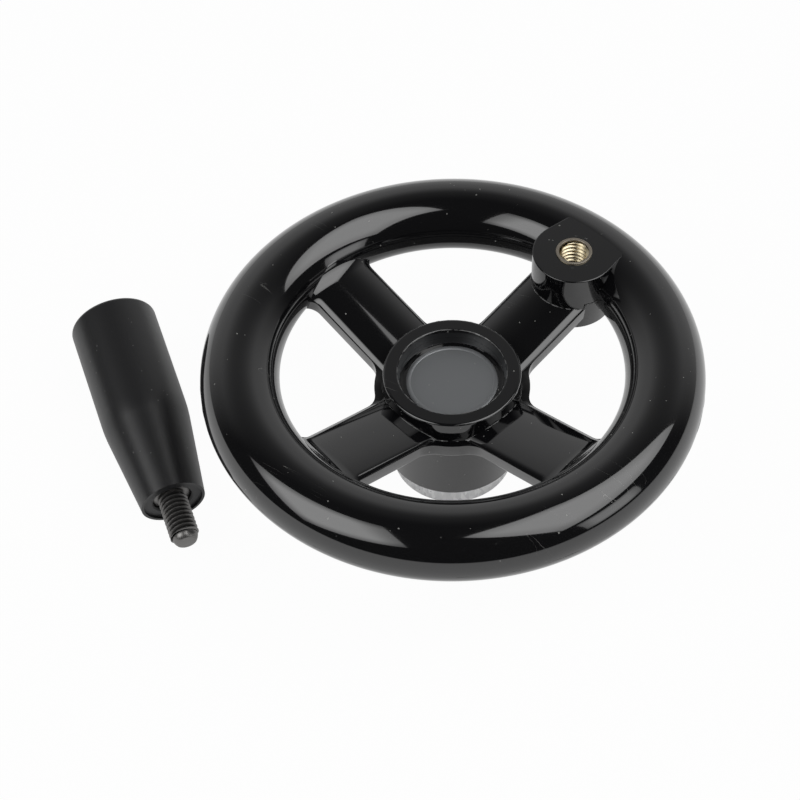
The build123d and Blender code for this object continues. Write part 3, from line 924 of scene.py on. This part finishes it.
# %% Turn the spindle
MOUTH = Vector((-56.69, -16.30, 6.611774)) * MM
OUTWARD = Vector((0.339544, -0.932888, -0.120124))
HEAD_RADIUS, SHANK_RADIUS, RELIEF_RADIUS = 4.8, 3.95, 2.35
STUD_ROOT, STUD_CREST = 2.3, 3.0
STUD_START, STUD_END, TIP = -0.6, 8.5, 10.0
bm = bmesh.new()
helix(bm, (STUD_ROOT, STUD_CREST), STUD_START, 9)
bmesh.ops.bisect_plane(
    bm, geom=[*bm.verts, *bm.edges, *bm.faces], plane_co=(0, 0, STUD_END * MM), plane_no=(0, 0, 1),
    clear_outer=True,
)
lathe(bm, [
    (0.0, -24.2), (4.5, -24.2), (HEAD_RADIUS, -23.9), (HEAD_RADIUS, -22.2), (SHANK_RADIUS, -22.2),
    (SHANK_RADIUS, -1.4), (3.75, -1.2), (RELIEF_RADIUS, -1.2), (RELIEF_RADIUS, -0.62), (2.7, STUD_START),
])
lathe(bm, [
    (2.5, 8.48), (2.6, STUD_END), (2.62, 8.75), (2.42, 9.3), (2.1, 9.8), (1.85, 9.97), (1.7, TIP),
    (0.0, TIP),
])
bmesh.ops.remove_doubles(bm, verts=bm.verts, dist=1e-7)
for face in bm.faces:
    centre = face.calc_center_median()
    face.normal_update()
    away = face.normal.dot(Vector((*centre.xy, 0)).normalized()) if centre.xy.length > 1e-4 else 0
    height = centre.z / MM
    looks_down = height < -23 or -0.62 < height < STUD_START or 8.48 < height < STUD_END
    wrong = away < 0 if abs(away) > 0.3 else (face.normal.z < 0) != looks_down
    if wrong:
        face.normal_flip()
    # The faces in the roots of the stud's thread take the darker steel.
    face.material_index = int(centre.xy.length / MM < 2.72 and STUD_START < height < STUD_END)
bmesh.ops.rotate(bm, verts=bm.verts, cent=(0, 0, 0), matrix=OUTWARD.to_track_quat("Z", "Y").to_matrix())
bmesh.ops.translate(bm, verts=bm.verts, vec=MOUTH)
stud = piece_from(bm, "threaded_spindle", "handwheel", "dark_steel", 50)
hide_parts("spindle")
stud.data.materials.append(dark_steel)
stud.data.materials.append(root_dark_steel)
print("spindle", len(stud.data.polygons))

# %% [markdown]
# ## Grip
# The grip narrows from a straight barrel to its mouth. The moulding turns softly from one into the
# other, so the ring of edges at that waist is bevelled.

# %% Soften the grip's waist
WAIST, WAIST_RADIUS, waist_bevel = 20.0, 8.9, 1.8


def from_mouth(place):
    """How far a place lies inside the grip's mouth, and off the grip's axis, in millimetres."""
    along = (place - MOUTH).dot(OUTWARD)
    return -along / MM, (place - MOUTH - along * OUTWARD).length / MM


bm = bmesh.new()
bm.from_mesh(nodes["grip"].data)
bmesh.ops.remove_doubles(bm, verts=bm.verts, dist=1e-6)
at_waist = set()
for vert in bm.verts:
    depth, off_axis = from_mouth(vert.co)
    if abs(depth - WAIST) < 0.01 and off_axis > WAIST_RADIUS:
        at_waist.add(vert)
waist_edges = [edge for edge in bm.edges if all(vert in at_waist for vert in edge.verts)]
bmesh.ops.bevel(
    bm, geom=waist_edges, offset=waist_bevel * MM, segments=6, profile=0.5, affect="EDGES", material=-1,
)
grip = piece_from(bm, "handle_grip", "handle", "satin_black", 40)
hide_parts("grip")
grip.data.materials.append(satin_black)
print("grip", len(waist_edges), len(grip.data.polygons))

# %% [markdown]
# ## Flash lines
# Where two halves of a mould or a loose core meet, the moulding keeps a thin line of flash. Most of
# it is broken off after moulding and leaves pale, ragged edges. Each line here is a thin ring of
# square section. It swells, thins and sinks by a smooth noise along its length, so that it breaks up.
# The pale rings at the boss's foot and round the collar's top edge are also painted highlights on
# those edges.

# %% Lay flash lines
WEB_TOP = 22.6
BESIDE_SPOKE = PARTING + 0.5


def flash_ring(name, centre, radius, half, height_at, kept=0.45, seed=0.0, fineness=0.9):
    """A ragged thin ring round a centre in millimetres. height_at gives its height at a place."""
    bm = bmesh.new()
    section = [(radius + half, 0.0), (radius, half), (radius - half, 0.0), (radius, -half)]
    verts = [bm.verts.new((reach * MM, 0, height * MM)) for reach, height in section]
    edges = [bm.edges.new(pair) for pair in zip(verts, verts[1:] + verts[:1])]
    bmesh.ops.spin(
        bm, geom=verts + edges, cent=(0, 0, 0), axis=(0, 0, 1), angle=math.tau, steps=360, use_merge=True,
    )
    bmesh.ops.remove_doubles(bm, verts=bm.verts, dist=1e-7)
    bmesh.ops.recalc_face_normals(bm, faces=bm.faces)
    for vert in bm.verts:
        out = vert.co.xy.normalized()
        grain = noise.noise(Vector((out.x * radius * fineness, out.y * radius * fineness, seed)))
        width = max(0.02, min(1.0, kept + 1.3 * grain))
        reach = radius + (vert.co.xy.length / MM - radius) * width
        place = Vector((centre[0] + out.x * reach, centre[1] + out.y * reach, 0)) * MM
        place.z = (height_at(place) - half * (1 - width)) * MM + vert.co.z * width
        vert.co = place
    made = piece_from(bm, name, "handwheel", "gloss_black", 60)
    made.data.materials.append(flash_and_highlight_black)
    print(name, len(made.data.polygons))
    return made


def foot_of_collar(place):
    """Height where the collar's wall meets a spoke or the web between two spokes."""
    nearest = max(spoke_azimuths, key=lambda azimuth: on_spoke(place, azimuth)[0])
    return max(WEB_TOP, spoke_surface(*on_spoke(place, nearest)))


def foot_of_boss(place):
    """Height where the boss's wall meets its spoke, or just above the parting line beside it."""
    reach, across = on_spoke(place, boss_azimuth)
    if reach > 35.0 or abs(across) > SPOKE_HALF:
        return BESIDE_SPOKE
    return spoke_surface(reach, across)


boss_middle = (BOSS_REACH * math.cos(boss_azimuth), BOSS_REACH * math.sin(boss_azimuth))
axis = (0, 0)
rim_outside = RIM_CENTRE + RIM_HALF
for name, centre, radius, half, height_at, facts in (
    ("collar_mouth_flash", axis, 10.98, 0.13, lambda place: COLLAR_TOP - 0.04, {"kept": 0.7, "seed": 1.0}),
    # Flash and painted highlight: the pale ring on the collar's rounded top edge.
    ("collar_edge_flash_and_highlight", axis, COLLAR - 0.12, 0.06, lambda place: COLLAR_TOP - 0.14,
     {"kept": 0.3, "seed": 2.0}),
    ("collar_foot_flash", axis, COLLAR + 0.12, 0.14, foot_of_collar, {"kept": 0.8, "seed": 3.0}),
    # Flash and painted highlight: the pale ring where the boss's wall meets its spoke.
    ("boss_foot_flash_and_highlight", boss_middle, BOSS_RADIUS + 0.08, 0.13, foot_of_boss, {"kept": 0.9, "seed": 4.0}),
    ("insert_flash", boss_middle, 4.5, 0.1, lambda place: BOSS_TOP - 0.02, {"kept": 0.15, "seed": 5.0}),
    ("rim_parting_flash", axis, rim_outside - 0.03, 0.07, lambda place: PARTING,
     {"kept": 0.5, "seed": 6.0, "fineness": 0.3}),
):
    flash_ring(name, centre, radius, half, height_at, **facts)
